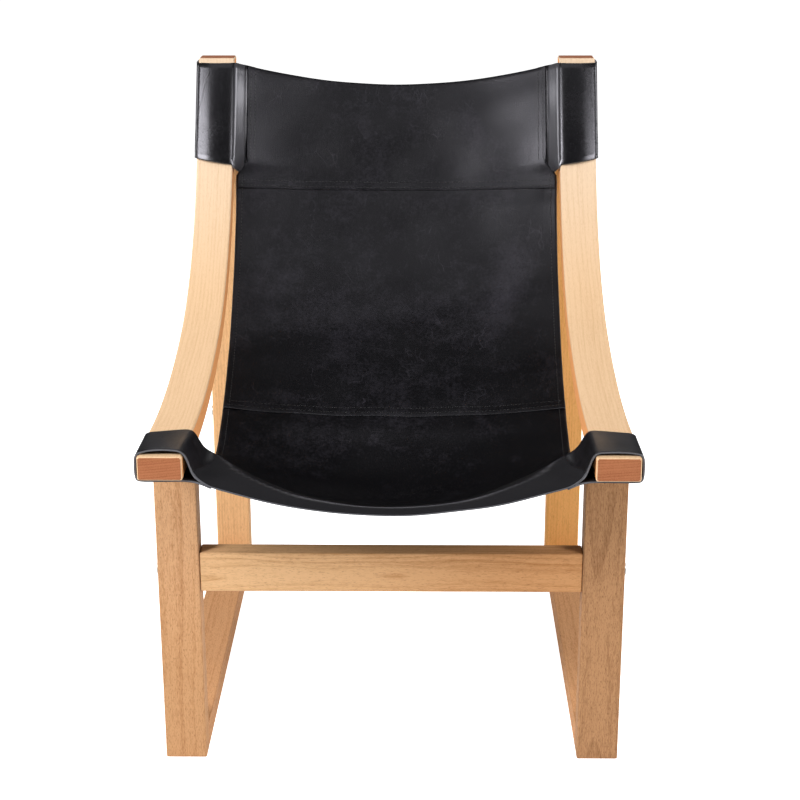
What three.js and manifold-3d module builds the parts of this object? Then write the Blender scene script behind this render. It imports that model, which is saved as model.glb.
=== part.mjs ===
// Lounge chair with a slung leather seat.
// Two side frames are bolted to two crossbars. Each side frame is a front leg, a floor rail, an upright
// rear leg and one long rail, bent to the line of the seat and back. The leather hangs between the rails:
// straps round their front ends carry the seat, and pockets over their tops carry the back.
// Millimetres. X to the sitter's left, -Y to the front, Z up, origin on the floor under the middle.
import * as THREE from "three";
import { mergeVertices } from "three/addons/utils/BufferGeometryUtils.js";
import Module from "manifold-3d";

const wasm = await Module();
wasm.setup();

// Timber sizes
const frameWidth = 600;
const boardWidth = 54;
const legDepth = 32;
const floorRailHeight = 32;
const rearLegReach = 5.1;
const rearLegTopDrop = 15.8;
const easedEdge = 2;
const jointGap = 0.3;

// The rail's upper face, followed from its front end
const railThickness = 30;
const railOverhang = 115;
const railFrontHeight = 470;
const railFrontFall = 2.2;
const railFrontLength = 125;
const lowerBendRadius = 925;
const lowerBendTurn = 18.2;
const upperBendRadius = 413;
const upperBendTurn = 47;
const railTopLength = 147;
const bendStep = 3.2;

// Crossbars
const crossbarHeight = 54;
const crossbarThickness = 30;
const crossbarDrop = 174.5;
const crossbarSetback = 2;

// Fasteners
const boltRadius = 4;
const boltLength = 92;
const boltHeadRadius = 8.5;
const boltHeadHeight = 2.6;
const boltSocketRadius = 3;
const boltSocketDepth = 1.8;
const barrelNutRadius = 5;
const barrelNutLength = 20;
const barrelNutInset = 30;
const dowelRadius = 4;
const dowelLength = 44;
const dowelSpacing = 28;
const dowelChamfer = 1;
const railDowelDepth = 18;
const turnStopOffset = 16;
const screwRadius = 2.5;
const screwLength = 44;
const screwHeadRadius = 5;
const screwHeadHeight = 4;
const screwSpacing = 28;
const screwSink = 1;
const holeClearance = 0.3;
const roundSides = 16;
const weldDistance = 1e-4;

// Leather
const leather = 3;
const leatherLayer = 3.8;
const slingClearance = 4;
const seatClearance = 24;
const topClearance = 20;
const seamLap = 18;
const seamRampLength = 22;
const seatDepthAtSides = 109;
const seatDepthAtMiddle = 154;
const topEdgeDip = 15;
const leatherEase = 0.8;
const sheetColumnCount = 16;
const seatRowCount = 22;
const backRowCount = 14;
const topRowCount = 8;
const bandRowCount = 5;

// Where the leather lies: shares of the rail's length, then the drop below the rail's face there
const stationShares = [0.008, 0.035, 0.066, 0.098, 0.14, 0.2, 0.26, 0.32, 0.37, 0.42, 0.5, 0.6, 0.7, 0.79, 0.83, 0.89, 0.993];
const sideDropShares = [0.33, 0.285, 0.23, 0.18, 0.375, 0.65, 0.87, 1, 0.97, 0.88, 0.71, 0.515, 0.4, 0.24, 0.18, 0.155, 0.15];
const middleDropShares = [0.477, 0.487, 0.545, 0.636, 0.747, 0.883, 0.98, 0.98, 0.89, 0.766, 0.623, 0.526, 0.461, 0.364, 0.357, 0.364, 0.39];
const seatWidenShares = [0.1, 0.24];
const topNarrowShares = [0.814, 0.826];
const lowerSeamShare = 0.42;
const upperSeamShare = 0.788;
const strapBackShare = 0.1105;
const seamBow = 6;

// Straps round the rails' front ends
const strapLapLength = 12;
const tabLapLength = 8;
const strapBackOffset = 12;
const strapBowHeight = 4.6;
const strapGap = 0.6;
const strapInnerGap = 6.5;
const strapOuterGap = 1.6;
const strapThicknessShares = [0.5, 0.5, 0.8, 1, 1, 1, 1, 1, 1, 1, 1, 1, 1, 1, 1, 1, 1, 1, 0.8, 0.5, 0.5];

// Pockets over the frame's tops
const pocketTopMargin = 6;
const pocketLength = 133;
const pocketHemHeight = 8;
const pocketLap = 14;
const pocketTopDip = 20;
const pocketDipShares = [0.6, 0.38, 0.16, 0, 0, 0, 0, 0, 0, 0, 0, 0.3, 0.75, 0.95, 1, 1];
const pocketThicknessShares = [0.5, 0.5, 1, 1, 1, 1, 1, 1, 1, 1, 1, 1, 1, 0.8, 0.5, 0.5];

const wood = new THREE.MeshStandardMaterial({ color: "#d9a878", roughness: 0.55, metalness: 0 });
const railWood = new THREE.MeshStandardMaterial({ color: "#ecc79c", roughness: 0.5, metalness: 0 });
const dowelWood = new THREE.MeshStandardMaterial({ color: "#dcb88a", roughness: 0.7, metalness: 0 });
const steel = new THREE.MeshStandardMaterial({ color: "#c9c7c2", roughness: 0.35, metalness: 1 });
const blackLeather = new THREE.MeshStandardMaterial({ color: "#26252a", roughness: 0.5, metalness: 0 });

const outerFace = frameWidth / 2;
const innerFace = outerFace - boardWidth;
const boardMiddle = (outerFace + innerFace) / 2;
const crossbarLift = railFrontHeight - crossbarDrop - crossbarHeight;
const slingHalfWidth = innerFace - slingClearance;
const seatHalfWidth = innerFace - seatClearance;
const topHalfWidth = innerFace - topClearance;

// Geometry to solid and back
function toSolid(geometry) {
  const plain = geometry.clone();
  plain.deleteAttribute("normal");
  plain.deleteAttribute("uv");
  const merged = mergeVertices(plain, weldDistance);
  const corners = merged.index.array;
  const order = [];
  for (let first = 0; first < corners.length; first += 3) {
    const [a, b, c] = [corners[first], corners[first + 1], corners[first + 2]];
    if (a !== b && b !== c && c !== a) {
      order.push(a, b, c);
    }
  }
  const mesh = new wasm.Mesh({
    numProp: 3,
    vertProperties: new Float32Array(merged.attributes.position.array),
    triVerts: new Uint32Array(order),
  });
  return new wasm.Manifold(mesh);
}

function toGeometry(solid) {
  const mesh = solid.getMesh();
  const geometry = new THREE.BufferGeometry();
  geometry.setAttribute("position", new THREE.BufferAttribute(new Float32Array(mesh.vertProperties), 3));
  geometry.setIndex(new THREE.BufferAttribute(new Uint32Array(mesh.triVerts), 1));
  geometry.computeVertexNormals();
  return geometry;
}

function drilled(geometry, holes) {
  let solid = toSolid(geometry);
  for (const hole of holes) {
    solid = solid.subtract(toSolid(hole));
  }
  return toGeometry(solid);
}

// A round bar from one point to another
function roundBar(from, to, radius, sides = roundSides) {
  const along = new THREE.Vector3().subVectors(to, from);
  const bar = new THREE.CylinderGeometry(radius, radius, along.length(), sides);
  bar.translate(0, along.length() / 2, 0);
  bar.applyQuaternion(new THREE.Quaternion().setFromUnitVectors(new THREE.Vector3(0, 1, 0), along.normalize()));
  bar.translate(from.x, from.y, from.z);
  return bar;
}

// A turned piece whose axis starts at a point and runs along a direction
function turned(profile, from, direction) {
  const points = profile.map(([radius, height]) => new THREE.Vector2(radius, height));
  const piece = new THREE.LatheGeometry(points, roundSides);
  piece.applyQuaternion(new THREE.Quaternion().setFromUnitVectors(new THREE.Vector3(0, 1, 0), direction));
  piece.translate(from.x, from.y, from.z);
  return piece;
}

// Stations of the rail
const railRuns = [
  { length: railFrontLength, turn: 0 },
  { length: lowerBendRadius * THREE.MathUtils.degToRad(lowerBendTurn), turn: THREE.MathUtils.degToRad(lowerBendTurn) },
  { length: upperBendRadius * THREE.MathUtils.degToRad(upperBendTurn), turn: THREE.MathUtils.degToRad(upperBendTurn) },
  { length: railTopLength, turn: 0 },
];
const railLength = railRuns.reduce((sum, run) => sum + run.length, 0);

function railAt(travel) {
  let y = -railOverhang;
  let z = railFrontHeight;
  let angle = -THREE.MathUtils.degToRad(railFrontFall);
  let left = travel;
  railRuns.forEach((run, place) => {
    const used = place === railRuns.length - 1 ? left : Math.min(left, run.length);
    const turn = run.turn * used / run.length;
    const chord = turn === 0 ? used : 2 * used / turn * Math.sin(turn / 2);
    y += chord * Math.cos(angle + turn / 2);
    z += chord * Math.sin(angle + turn / 2);
    angle += turn;
    left -= used;
  });
  return { y, z, angle };
}

// A point below the rail's upper face, square to it
function railPoint(travel, drop) {
  const { y, z, angle } = railAt(travel);
  return new THREE.Vector2(y + drop * Math.sin(angle), z - drop * Math.cos(angle));
}

const railTop = railAt(railLength);
const railTopAngle = railTop.angle;
const railEndTravel = railLength + railThickness / Math.tan(railTopAngle);

// The rear leg stands against the rail's level end: a little further back, and one step lower
const rearLegBack = railPoint(railEndTravel, railThickness).x + rearLegReach;
const rearLegFront = rearLegBack - legDepth;
const rearLegHeight = railTop.z - rearLegTopDrop;

// Height of the rail's underside over a place on the floor, in its front run
function undersideAt(y) {
  const fall = THREE.MathUtils.degToRad(railFrontFall);
  const start = railPoint(0, railThickness);
  return start.y - (y - start.x) * Math.tan(fall);
}

// The place of the rail's back face at a height, in its top run
function railBackAt(z) {
  const end = railPoint(railLength, railThickness);
  return end.x + (z - end.y) / Math.tan(railTopAngle);
}

function railBackHeightAt(y) {
  const end = railPoint(railLength, railThickness);
  return end.y + (y - end.x) * Math.tan(railTopAngle);
}

// The travel at which the rail's face reaches a height
function travelAtHeight(z) {
  let low = railFrontLength;
  let high = railEndTravel;
  for (let turn = 0; turn < 40; turn += 1) {
    const middle = (low + high) / 2;
    if (railAt(middle).z < z) {
      low = middle;
    } else {
      high = middle;
    }
  }
  return (low + high) / 2;
}

// Boards of the side frame: an outline seen from the side, as thick as the board is wide, with eased edges
function board(corners) {
  const outline = new THREE.Shape(corners);
  const geometry = new THREE.ExtrudeGeometry(outline, {
    depth: boardWidth - 2 * easedEdge,
    bevelThickness: easedEdge,
    bevelSize: easedEdge,
    bevelOffset: -easedEdge,
    bevelSegments: 1,
    curveSegments: 1,
  });
  geometry.translate(0, 0, innerFace + easedEdge);
  const across = new THREE.Vector3(1, 0, 0);
  geometry.applyMatrix4(new THREE.Matrix4().makeBasis(new THREE.Vector3(0, 1, 0), new THREE.Vector3(0, 0, 1), across));
  return geometry;
}

function bendTravels() {
  const travels = [];
  let start = 0;
  for (const run of railRuns) {
    const steps = run.turn === 0 ? 1 : Math.max(1, Math.round(run.turn / THREE.MathUtils.degToRad(bendStep)));
    for (let step = 0; step < steps; step += 1) {
      travels.push(start + run.length * step / steps);
    }
    start += run.length;
  }
  travels.push(railLength);
  return travels;
}

function curvedRail() {
  const travels = bendTravels();
  const upper = travels.map((travel) => railPoint(travel, 0));
  const lower = travels.map((travel) => railPoint(travel, railThickness)).reverse();
  lower[0] = railPoint(railEndTravel, railThickness);
  // Eased corners at the front end and at the level top end
  upper[0] = railPoint(easedEdge, 0);
  upper.unshift(railPoint(0, easedEdge));
  lower[lower.length - 1] = railPoint(easedEdge, railThickness);
  lower.push(railPoint(0, railThickness - easedEdge));
  const tip = upper.pop();
  upper.push(railPoint(railLength - easedEdge, 0));
  upper.push(new THREE.Vector2(tip.x + easedEdge, tip.y));
  return drilled(board([...upper, ...lower]), [...railDowelHoles(), ...screwHoles()]);
}

function frontLeg() {
  const corners = [
    new THREE.Vector2(0, easedEdge),
    new THREE.Vector2(easedEdge, 0),
    new THREE.Vector2(legDepth, 0),
    new THREE.Vector2(legDepth, undersideAt(legDepth) - jointGap),
    new THREE.Vector2(0, undersideAt(0) - jointGap),
  ];
  const holes = [...railDowelHoles(), ...floorDowelHoles("front"), ...crossbarHoles("front")];
  return drilled(board(corners), holes);
}

function rearLeg() {
  const gap = jointGap / Math.sin(railTopAngle);
  const corners = [
    new THREE.Vector2(rearLegFront, 0),
    new THREE.Vector2(rearLegBack - easedEdge, 0),
    new THREE.Vector2(rearLegBack, easedEdge),
    new THREE.Vector2(rearLegBack, rearLegHeight - easedEdge),
    new THREE.Vector2(rearLegBack - easedEdge, rearLegHeight),
    new THREE.Vector2(railBackAt(rearLegHeight) + gap, rearLegHeight),
    new THREE.Vector2(rearLegFront, railBackHeightAt(rearLegFront - gap)),
  ];
  const holes = [...floorDowelHoles("rear"), ...crossbarHoles("rear"), ...screwHoles()];
  return drilled(board(corners), holes);
}

function floorRail() {
  const corners = [
    new THREE.Vector2(legDepth + jointGap, 0),
    new THREE.Vector2(rearLegFront - jointGap, 0),
    new THREE.Vector2(rearLegFront - jointGap, floorRailHeight),
    new THREE.Vector2(legDepth + jointGap, floorRailHeight),
  ];
  return drilled(board(corners), [...floorDowelHoles("front"), ...floorDowelHoles("rear")]);
}

// Dowels: the pairs that stand in the front leg and the rail, and those that lie in the floor rail's ends
const dowelOffsets = [-dowelSpacing / 2, dowelSpacing / 2];

function railDowelEnds(offset) {
  const y = legDepth / 2;
  const top = undersideAt(y) + railDowelDepth;
  const x = boardMiddle + offset;
  return [new THREE.Vector3(x, y, top - dowelLength), new THREE.Vector3(x, y, top)];
}

function floorDowelEnds(end, offset) {
  const joint = end === "front" ? legDepth : rearLegFront;
  const z = floorRailHeight / 2;
  const x = boardMiddle + offset;
  return [new THREE.Vector3(x, joint - dowelLength / 2, z), new THREE.Vector3(x, joint + dowelLength / 2, z)];
}

function dowelHole([from, to]) {
  const slack = new THREE.Vector3().subVectors(to, from).setLength(2 * holeClearance);
  return roundBar(from.clone().sub(slack), to.clone().add(slack), dowelRadius + holeClearance);
}

function dowel([from, to]) {
  const direction = new THREE.Vector3().subVectors(to, from);
  const length = direction.length();
  const profile = [
    [0, 0],
    [dowelRadius - dowelChamfer, 0],
    [dowelRadius, dowelChamfer],
    [dowelRadius, length - dowelChamfer],
    [dowelRadius - dowelChamfer, length],
    [0, length],
  ];
  return turned(profile, from, direction.normalize());
}

function railDowelHoles() {
  return dowelOffsets.map((offset) => dowelHole(railDowelEnds(offset)));
}

function floorDowelHoles(end) {
  return dowelOffsets.map((offset) => dowelHole(floorDowelEnds(end, offset)));
}

// Crossbars: one bolt and one turn-stop dowel at each end; the bolt screws into a barrel nut
const crossbarMiddle = crossbarLift + crossbarHeight / 2;

function crossbarFront(end) {
  return end === "front" ? crossbarSetback : rearLegFront + legDepth - crossbarSetback - crossbarThickness;
}

function boltLine(end) {
  const y = crossbarFront(end) + crossbarThickness / 2;
  return [new THREE.Vector3(outerFace, y, crossbarMiddle), new THREE.Vector3(outerFace - boltLength, y, crossbarMiddle)];
}

function turnStopEnds(end) {
  const y = crossbarFront(end) + crossbarThickness / 2;
  const z = crossbarMiddle - turnStopOffset;
  return [new THREE.Vector3(innerFace - dowelLength / 2, y, z), new THREE.Vector3(innerFace + dowelLength / 2, y, z)];
}

function boltHole(end) {
  const [from, to] = boltLine(end);
  const over = new THREE.Vector3(boltHeadHeight, 0, 0);
  return roundBar(from.clone().add(over), to.clone().sub(over), boltRadius + holeClearance);
}

function barrelNutEnds(end) {
  const x = innerFace - barrelNutInset;
  const inside = end === "front" ? crossbarFront(end) + crossbarThickness : crossbarFront(end);
  const inward = end === "front" ? -1 : 1;
  const from = inside + inward * holeClearance;
  return [
    new THREE.Vector3(x, from, crossbarMiddle),
    new THREE.Vector3(x, from + inward * barrelNutLength, crossbarMiddle),
  ];
}

function barrelNutHole(end) {
  const [from, to] = barrelNutEnds(end);
  const slack = new THREE.Vector3().subVectors(to, from).setLength(4 * holeClearance);
  return roundBar(from.clone().sub(slack), to.clone().add(slack), barrelNutRadius + holeClearance);
}

function crossbarHoles(end) {
  return [boltHole(end), dowelHole(turnStopEnds(end))];
}

function mirroredHole(hole) {
  const copy = hole.clone();
  copy.applyMatrix4(new THREE.Matrix4().makeScale(-1, 1, 1));
  const order = copy.index.array;
  for (let corner = 0; corner < order.length; corner += 3) {
    const first = order[corner];
    order[corner] = order[corner + 1];
    order[corner + 1] = first;
  }
  return copy;
}

function crossbar(end) {
  const length = 2 * (innerFace - jointGap);
  const outline = new THREE.Shape([
    new THREE.Vector2(0, 0),
    new THREE.Vector2(crossbarThickness, 0),
    new THREE.Vector2(crossbarThickness, crossbarHeight),
    new THREE.Vector2(0, crossbarHeight),
  ].map((corner) => corner.add(new THREE.Vector2(crossbarFront(end), crossbarLift))));
  const corners = easedCorners(outline.getPoints(), easedEdge);
  const geometry = new THREE.ExtrudeGeometry(new THREE.Shape(corners), { depth: length, bevelEnabled: false });
  geometry.translate(0, 0, -length / 2);
  const across = new THREE.Vector3(1, 0, 0);
  geometry.applyMatrix4(new THREE.Matrix4().makeBasis(new THREE.Vector3(0, 1, 0), new THREE.Vector3(0, 0, 1), across));
  const holes = [...crossbarHoles(end), barrelNutHole(end)];
  return drilled(geometry, [...holes, ...holes.map(mirroredHole)]);
}

// An outline with each corner cut off by the eased edge
function easedCorners(corners, ease) {
  const eased = [];
  corners.forEach((corner, place) => {
    const before = corners[(place + corners.length - 1) % corners.length];
    const after = corners[(place + 1) % corners.length];
    eased.push(corner.clone().add(before.clone().sub(corner).setLength(ease)));
    eased.push(corner.clone().add(after.clone().sub(corner).setLength(ease)));
  });
  return eased;
}

function crossbarBolt(end) {
  const [from, to] = boltLine(end);
  const direction = new THREE.Vector3().subVectors(to, from);
  const length = direction.length();
  const headTop = -boltHeadHeight - jointGap;
  const profile = [
    [0, length],
    [boltRadius, length],
    [boltRadius, -jointGap],
    [boltHeadRadius, -jointGap],
    [boltHeadRadius, headTop + boltHeadHeight / 2],
    [boltHeadRadius - boltHeadHeight / 2, headTop],
    [0, headTop],
  ].reverse();
  const bolt = turned(profile, from, direction.clone().normalize());
  const socketFrom = from.clone().add(direction.clone().setLength(headTop + boltSocketDepth));
  const socketTo = from.clone().add(direction.clone().setLength(headTop - boltSocketDepth));
  return drilled(bolt, [roundBar(socketFrom, socketTo, boltSocketRadius, 6)]);
}

function barrelNut(end) {
  const [from, to] = barrelNutEnds(end);
  return drilled(roundBar(from, to, barrelNutRadius), [boltHole(end)]);
}

// Screws that hold the rail's top to the bevelled head of the rear leg
function screwLine(offset) {
  const z = (railBackHeightAt(rearLegFront) + rearLegHeight) / 2;
  const joint = new THREE.Vector3(boardMiddle + offset, railBackAt(z), z);
  const direction = new THREE.Vector3(0, Math.sin(railTopAngle), -Math.cos(railTopAngle));
  const from = joint.clone().sub(direction.clone().multiplyScalar(railThickness - screwSink));
  return { from, direction };
}

const screwOffsets = [-screwSpacing / 2, screwSpacing / 2];

function screwProfile(slack, over) {
  return [
    [0, -over],
    [screwHeadRadius + slack, -over],
    [screwHeadRadius + slack, 0],
    [screwRadius + slack, screwHeadHeight + slack],
    [screwRadius + slack, screwLength + slack],
    [0, screwLength + slack],
  ];
}

function screwHoles() {
  return screwOffsets.map((offset) => {
    const { from, direction } = screwLine(offset);
    return turned(screwProfile(holeClearance, screwSink * 2), from, direction);
  });
}

function topScrew(offset) {
  const { from, direction } = screwLine(offset);
  const profile = screwProfile(0, 0).slice(1);
  profile[0] = [screwHeadRadius, 0];
  return turned([[0, 0], ...profile], from, direction);
}

// A value read between stations, on a smooth curve through them
function between(shares, share) {
  const last = stationShares.length - 1;
  let place = 0;
  while (place < last - 1 && share > stationShares[place + 1]) {
    place += 1;
  }
  const width = stationShares[place + 1] - stationShares[place];
  const part = (share - stationShares[place]) / width;
  const slopeAt = (station) => {
    const before = Math.max(station - 1, 0);
    const after = Math.min(station + 1, last);
    return (shares[after] - shares[before]) / (stationShares[after] - stationShares[before]);
  };
  const start = shares[place];
  const end = shares[place + 1];
  const first = slopeAt(place) * width;
  const second = slopeAt(place + 1) * width;
  const squared = part * part;
  const cubed = squared * part;
  return (2 * cubed - 3 * squared + 1) * start + (cubed - 2 * squared + part) * first
    + (3 * squared - 2 * cubed) * end + (cubed - squared) * second;
}

// Half the leather's width at a station: narrower between the straps and between the pockets
function halfWidthAt(share) {
  const seatPart = 1 - THREE.MathUtils.smoothstep(share, ...seatWidenShares);
  const topPart = THREE.MathUtils.smoothstep(share, ...topNarrowShares);
  return slingHalfWidth + (seatHalfWidth - slingHalfWidth) * seatPart + (topHalfWidth - slingHalfWidth) * topPart;
}

// The leather's upper surface: a station and a distance from the middle give a point
function slingPoint(share, x) {
  const across = x / halfWidthAt(share);
  const side = seatDepthAtSides * between(sideDropShares, share);
  const middle = seatDepthAtMiddle * between(middleDropShares, share);
  const sag = 1 - across * across;
  const drop = side + (middle - side) * sag;
  const place = railPoint(share * railLength, drop);
  return new THREE.Vector3(x, place.x, place.y);
}

// The top edge is cut to a shallow curve, lowest in the middle
function topEdgeShare(across) {
  const last = stationShares[stationShares.length - 1];
  return last - topEdgeDip / railLength * (1 - across * across);
}

// A sheet of leather: a grid of points on its outer face, made solid by its thickness; the leather may be
// pared thinner column by column
function sheetSolid(points, thicknessShares) {
  const rows = points.length;
  const columns = points[0].length;
  const positions = [];
  const inner = [];
  for (let row = 0; row < rows; row += 1) {
    for (let column = 0; column < columns; column += 1) {
      const alongRows = new THREE.Vector3().subVectors(
        points[Math.min(row + 1, rows - 1)][column],
        points[Math.max(row - 1, 0)][column],
      );
      const alongColumns = new THREE.Vector3().subVectors(
        points[row][Math.min(column + 1, columns - 1)],
        points[row][Math.max(column - 1, 0)],
      );
      const outward = new THREE.Vector3().crossVectors(alongColumns, alongRows).normalize();
      positions.push(...points[row][column].toArray());
      const thickness = thicknessShares === undefined ? leather : leather * thicknessShares[column];
      inner.push(...points[row][column].clone().addScaledVector(outward, -thickness).toArray());
    }
  }
  positions.push(...inner);
  const count = rows * columns;
  const order = [];
  const quad = (a, b, c, d) => order.push(a, b, c, a, c, d);
  for (let row = 0; row < rows - 1; row += 1) {
    for (let column = 0; column < columns - 1; column += 1) {
      const a = row * columns + column;
      quad(a, a + 1, a + columns + 1, a + columns);
      quad(count + a, count + a + columns, count + a + columns + 1, count + a + 1);
    }
  }
  for (let row = 0; row < rows - 1; row += 1) {
    const a = row * columns;
    const b = a + columns - 1;
    quad(a, a + columns, count + a + columns, count + a);
    quad(b + columns, b, count + b, count + b + columns);
  }
  for (let column = 0; column < columns - 1; column += 1) {
    const a = column;
    const b = (rows - 1) * columns + column;
    quad(a + 1, a, count + a, count + a + 1);
    quad(b, b + 1, count + b + 1, count + b);
  }
  const geometry = new THREE.BufferGeometry();
  geometry.setAttribute("position", new THREE.BufferAttribute(new Float32Array(positions), 3));
  geometry.setIndex(order);
  geometry.computeVertexNormals();
  return geometry;
}

// The upper panel of a seam laps over the front of the lower one, which steps back by one thickness
function panelRow(shareAt, step) {
  const columns = sheetColumnCount;
  const line = [];
  for (let column = 0; column <= columns; column += 1) {
    const across = 2 * column / columns - 1;
    const share = shareAt(across);
    const point = slingPoint(share, across * halfWidthAt(share));
    const angle = railAt(share * railLength).angle;
    point.y += step * Math.sin(angle);
    point.z -= step * Math.cos(angle);
    line.push(point);
  }
  return line;
}

// A seam runs across the leather in a shallow bow, highest in the middle
function seamAt(seamShare, across) {
  return seamShare + seamBow / railLength * (1 - across * across);
}

function lappedPanel(startShareAt, seamShare, rows) {
  const seam = (across) => seamAt(seamShare, across);
  const ramp = (across) => seam(across) - seamRampLength / railLength;
  const points = [];
  for (let row = 0; row <= rows; row += 1) {
    const shareAt = (across) => startShareAt(across) + (ramp(across) - startShareAt(across)) * row / rows;
    points.push(panelRow(shareAt, 0));
  }
  points.push(panelRow((across) => (ramp(across) + seam(across)) / 2, leatherLayer * 0.6));
  points.push(panelRow(seam, leatherLayer));
  points.push(panelRow((across) => seam(across) + seamLap / railLength, leatherLayer));
  return sheetSolid(points);
}

function seatPanel() {
  return lappedPanel(() => stationShares[0], lowerSeamShare, seatRowCount);
}

function backPanel() {
  return lappedPanel((across) => seamAt(lowerSeamShare, across), upperSeamShare, backRowCount);
}

function topPanel() {
  const [narrowStart, narrowEnd] = topNarrowShares;
  const middle = (narrowStart + narrowEnd) / 2;
  const rows = topRowCount;
  const points = [panelRow((across) => seamAt(upperSeamShare, across), 0)];
  for (const share of [narrowStart, middle]) {
    points.push(panelRow(() => share, 0));
  }
  for (let row = 0; row <= rows; row += 1) {
    points.push(panelRow((across) => narrowEnd + (topEdgeShare(across) - narrowEnd) * row / rows, 0));
  }
  return sheetSolid(points);
}

// Front strap: from under the seat's edge, up over the rail, round it and back under the seat
function strapSection(share, part) {
  const dropAt = (x) => {
    const face = railAt(share * railLength);
    const point = slingPoint(share, x);
    return (point.y - face.y) * Math.sin(face.angle) - (point.z - face.z) * Math.cos(face.angle);
  };
  const lift = leather + strapGap + strapBowHeight * (1 - part);
  const edge = dropAt(seatHalfWidth);
  const below = railThickness + leather + strapGap;
  const start = seatHalfWidth - strapLapLength;
  const tab = seatHalfWidth - tabLapLength;
  const layer = leatherLayer * Math.hypot(1, (dropAt(start) - edge) / strapLapLength);
  const rise = innerFace - seatHalfWidth;
  return [
    [start, dropAt(start) + layer],
    [seatHalfWidth + leather, dropAt(seatHalfWidth + leather) + layer],
    [seatHalfWidth + rise * 0.4, edge * (0.84 - 0.14 * part) + leather],
    [innerFace - strapInnerGap - leather, edge * (0.55 - 0.3 * part)],
    [innerFace - strapInnerGap, edge * (0.22 - 0.22 * part)],
    [innerFace, -leather - 2 * strapGap],
    [innerFace + boardWidth * 0.22, -leather - 2 * strapGap - (lift - leather) * 0.5],
    [boardMiddle, -lift],
    [outerFace - boardWidth * 0.2, -leather - strapGap - (lift - leather) * 0.5],
    [outerFace - easedEdge, -leather - strapGap],
    [outerFace + leather, -strapGap],
    [outerFace + leather + strapGap, railThickness * 0.2],
    [outerFace + leather + strapOuterGap, railThickness * 0.5],
    [outerFace + leather + strapGap, railThickness * 0.8],
    [outerFace + leather, railThickness + strapGap],
    [outerFace - easedEdge, below],
    [boardMiddle, below],
    [innerFace, below],
    [seatHalfWidth + rise * 0.4, Math.max(below, edge + layer + leather)],
    [seatHalfWidth, edge + 2 * layer],
    [tab, dropAt(tab) + 2 * layer],
  ];
}

function frontStrap() {
  const rows = bandRowCount;
  const points = [];
  for (let row = 0; row <= rows; row += 1) {
    const part = row / rows;
    const share = stationShares[0] + (strapBackShare - stationShares[0]) * part;
    points.push(strapSection(share, part).map(([x, drop]) => {
      const slant = strapBackOffset * part * Math.max(x - innerFace, 0) / boardWidth;
      const place = railPoint(share * railLength - slant, drop);
      return new THREE.Vector3(x, place.x, place.y);
    }));
  }
  return sheetSolid(points, strapThicknessShares);
}

// Top pocket: from under the back's edge, over the rail's face, round rail and leg, and back under the edge
function slingDepthAt(x, z) {
  let low = upperSeamShare - seamRampLength / railLength;
  let high = 1.2;
  for (let turn = 0; turn < 40; turn += 1) {
    const middle = (low + high) / 2;
    if (slingPoint(Math.min(middle, 1), x).z + Math.max(middle - 1, 0) * railLength < z) {
      low = middle;
    } else {
      high = middle;
    }
  }
  return slingPoint(Math.min((low + high) / 2, 1), x).y;
}

function pocketSection(part) {
  const top = railTop.z - pocketTopMargin;
  const slope = 2 * seatDepthAtMiddle * between(middleDropShares, upperSeamShare) / topHalfWidth;
  const layer = leatherLayer * Math.hypot(1, slope) / Math.sin(railTopAngle);
  const front = (x) => top - (pocketLength + pocketHemHeight * (outerFace - x) / boardWidth) * (1 - part);
  const faceAt = (z) => railAt(travelAtHeight(z)).y;
  const off = (leather + leatherEase) / Math.sin(railTopAngle);
  const back = rearLegBack + leather + leatherEase;
  const start = topHalfWidth - pocketLap;
  const outer = outerFace + leather + leatherEase;
  const points = [];
  const add = (x, place) => {
    const z = front(Math.min(x, outerFace)) - pocketTopDip * pocketDipShares[points.length] * part;
    points.push(new THREE.Vector3(x, place(z), z));
  };
  add(start, (z) => slingDepthAt(start, z) + layer);
  add(topHalfWidth + leather, (z) => slingDepthAt(topHalfWidth + leather, z) + layer);
  add(innerFace - 2 * leather, (z) => faceAt(z) - leatherEase);
  add(innerFace, (z) => faceAt(z) - off);
  add(boardMiddle, (z) => faceAt(z) - off);
  add(outerFace - easedEdge, (z) => faceAt(z) - off);
  add(outer, (z) => faceAt(z) + easedEdge);
  add(outer, (z) => (faceAt(z) + back) / 2);
  add(outer, () => back - easedEdge - leather);
  add(outerFace - easedEdge, () => back);
  add(boardMiddle, () => back);
  add(innerFace, () => back);
  add(innerFace - leather - leatherEase, () => back - easedEdge - leather);
  add((innerFace + topHalfWidth) / 2, (z) => (back + slingDepthAt(topHalfWidth, z)) / 2);
  add(topHalfWidth, (z) => slingDepthAt(topHalfWidth, z) + 2 * layer);
  add(start + leather, (z) => slingDepthAt(start + leather, z) + 2 * layer);
  return points;
}

function topPocket() {
  const rows = bandRowCount;
  const points = [];
  for (let row = 0; row <= rows; row += 1) {
    points.push(pocketSection(row / rows));
  }
  return sheetSolid(points, pocketThicknessShares);
}

const chair = new THREE.Group();

function add(group, name, geometry, material) {
  const mesh = new THREE.Mesh(geometry, material);
  mesh.name = name;
  group.add(mesh);
}

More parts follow.
